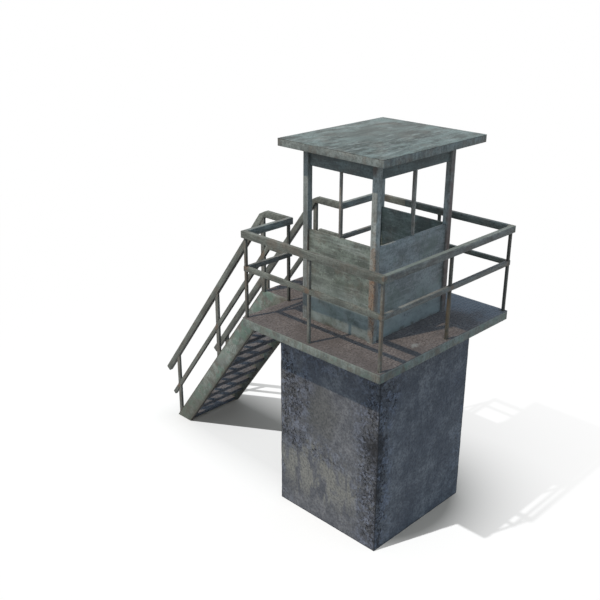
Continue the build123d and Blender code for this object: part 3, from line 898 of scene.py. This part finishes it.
def front_marks(tree, at, colour):
    """The front top rail is worn pale along its outer edge, and its tops are tinted green-grey as
    painted shade. The middle rail's top carries a painted shadow of the cab.
    """
    strip = cloudy(tree, stretched(tree, at, (1.0, 6.0, 6.0)), 3.0, 6.0, 0.6)
    outer_edge = patch(tree, at, (0.0, -1.125, 3.905), (1.3, 0.03, 0.02), ragged=0.1, grain=9.0)
    strip = calc(tree, "MULTIPLY", between(tree, strip, 0.46, 0.58), outer_edge)
    colour = tint(tree, colour, strip, 0.7, (0.400, 0.380, 0.320))
    # The top faces of the top rail get a green-grey tint: painted shade.
    upward = between(tree, facing(tree)["Z"], 0.5, 0.9)
    high_up = between(tree, apart(tree, at)["Z"], 3.5, 3.7)
    colour = tint(tree, colour, calc(tree, "MULTIPLY", upward, high_up), 0.5, (0.152, 0.190, 0.165))
    # At the right the middle rail's top is darkened: a painted shadow of the cab.
    soot_and_shade = patch(tree, at, (0.66, -1.10, 3.46), (0.85, 0.2, 0.2), ragged=0.2, grain=9.0)
    soot_and_shade = calc(tree, "MULTIPLY", upward, soot_and_shade)
    return front_rust(tree, at, tint(tree, colour, soot_and_shade, 0.75, (0.040, 0.048, 0.054)))


def rail_steel(name, tone, grain_stretch, grain_share=0.6, edge_reach=0.005, **finish):
    """Painted steel for rails and their posts, with a strong grain along each."""
    return steel(name, tone, grain_stretch, grain_scale=4.0, patch_scale=2.8, spread=0.36,
                 grain_share=grain_share, edge_reach=edge_reach, **finish)


grain_x, grain_y, grain_z = (0.9, 7.0, 7.0), (7.0, 0.9, 7.0), (7.0, 7.0, 0.9)
side_rail_steel = rail_steel("rail_paint_sides", (0.155, 0.159, 0.134), grain_y, marks=side_marks)
front_rail_steel = rail_steel("rail_paint_ends", (0.164, 0.162, 0.146), grain_x,
                              faded=(0.150, 0.125, 0.105), marks=front_marks)
rear_rail_steel = rail_steel("rail_paint_rear", (0.225, 0.240, 0.220), grain_x)
rail_post_steel = rail_steel("rail_post_paint", (0.157, 0.152, 0.130), grain_z, edge_reach=0.003,
                             marks=post_rust)
# The posts on the right, front and rear get a darker copy of the post paint; its darker tone is painted
# shade.
dark_post_steel = rail_steel("rail_post_dark_paint", (0.082, 0.079, 0.066), grain_z, edge_reach=0.003,
                             faded=(0.080, 0.062, 0.048), marks=dark_post_rust)
dark_posts = ("rail_posts_right", "rail_posts_front", "rail_posts_rear")
for nodes, rail_finish in (
        (("top_rail_left", "top_rail_right", "mid_rail_left", "mid_rail_right"), side_rail_steel),
        (("top_rail_front", "mid_rail_front", "mid_rails_rear"), front_rail_steel),
        (("top_rails_rear",), rear_rail_steel),
        (("rail_posts_left",), rail_post_steel),
        (dark_posts, dark_post_steel)):
    dress(nodes, "rail_paint", rail_finish)
weld_beads("rail_post_welds", "rail_paint", rail_post_steel, ("rail_posts_left",))
weld_beads("dark_post_welds", "rail_paint", dark_post_steel, dark_posts)


# Stair. Two flat steel stringers that hold the treads and the landing between them, and on each
# side a handrail that bends over the landing's end, a middle rail and short posts, all welded.
slope_up, top_edge_up = (0, 0.801, 0.598), 2.956
stair_slope = radians(53.25)


def stringer_marks(tree, at, colour):
    """Green patina, bare and scraped patches, and rust along both edges and at the foot."""
    patina = between(tree, cloudy(tree, at, 5.0, 7.0, 0.68), 0.48, 0.57)
    colour = tint(tree, colour, patina, 0.6, (0.140, 0.220, 0.168))
    bare = between(tree, cloudy(tree, at, 9.0, 7.0, 0.7, 0.5), 0.52, 0.62)
    colour = tint(tree, colour, bare, 0.55, (0.125, 0.105, 0.078))
    scraped = patch(tree, at, (-0.5, 2.52, 1.45), (0.2, 0.22, 0.20), ragged=0.35, grain=10.0)
    colour = tint(tree, colour, scraped, 0.4, (0.340, 0.350, 0.310))
    depth = calc(tree, "SUBTRACT", top_edge_up, vector_calc(tree, "DOT_PRODUCT", at, slope_up))
    low_edge = calc(tree, "ADD", depth, calc(tree, "MULTIPLY", cloudy(tree, at, 9.0, 5.0, 0.6), 0.06))
    colour = tint(tree, colour, between(tree, low_edge, 0.225, 0.275), 0.55, (0.095, 0.072, 0.050))
    top_edge = calc(tree, "SUBTRACT", 1.0, between(tree, depth, 0.008, 0.022))
    colour = tint(tree, colour, top_edge, 0.7, (0.085, 0.066, 0.048))
    foot = calc(tree, "MULTIPLY", cloudy(tree, at, 5.0, 5.0, 0.6), 0.8)
    foot = between(tree, calc(tree, "ADD", apart(tree, at)["Z"], foot), 0.55, 1.60)
    return tint(tree, colour, calc(tree, "SUBTRACT", 1.0, foot), 0.6, (0.105, 0.098, 0.072))


stringer_steel = steel("stringer_paint", (0.240, 0.256, 0.222), (2.0, 2.0, 2.0), grain_scale=3.6,
                       patch_scale=2.8, spread=0.46, grain_share=0.45, faded_share=0.45,
                       marks=stringer_marks)
dress(("stringer_left", "stringer_right"), "stair_paint", stringer_steel)
stair_rust = rust_spots([
    ((-0.5, 1.60, 3.30), (0.08, 0.07, 0.09)), ((-0.5, 3.64, 0.56), (0.08, 0.07, 0.07)),
    ((-0.5, 2.63, 1.92), (0.08, 0.06, 0.08))])
stair_rail_steel = rail_steel("stair_rail_paint", (0.160, 0.164, 0.139), grain_y, grain_share=0.5,
                              blotch_share=0.15, lean=stair_slope, marks=stair_rust)
dress(("handrail_left", "handrail_right", "stair_mid_rail_left", "stair_mid_rail_right"),
      "rail_paint", stair_rail_steel)
stair_posts = ("stair_posts_left", "stair_posts_right")
dress(stair_posts, "rail_paint", rail_post_steel)
weld_beads("stair_post_welds", "rail_paint", rail_post_steel, stair_posts)
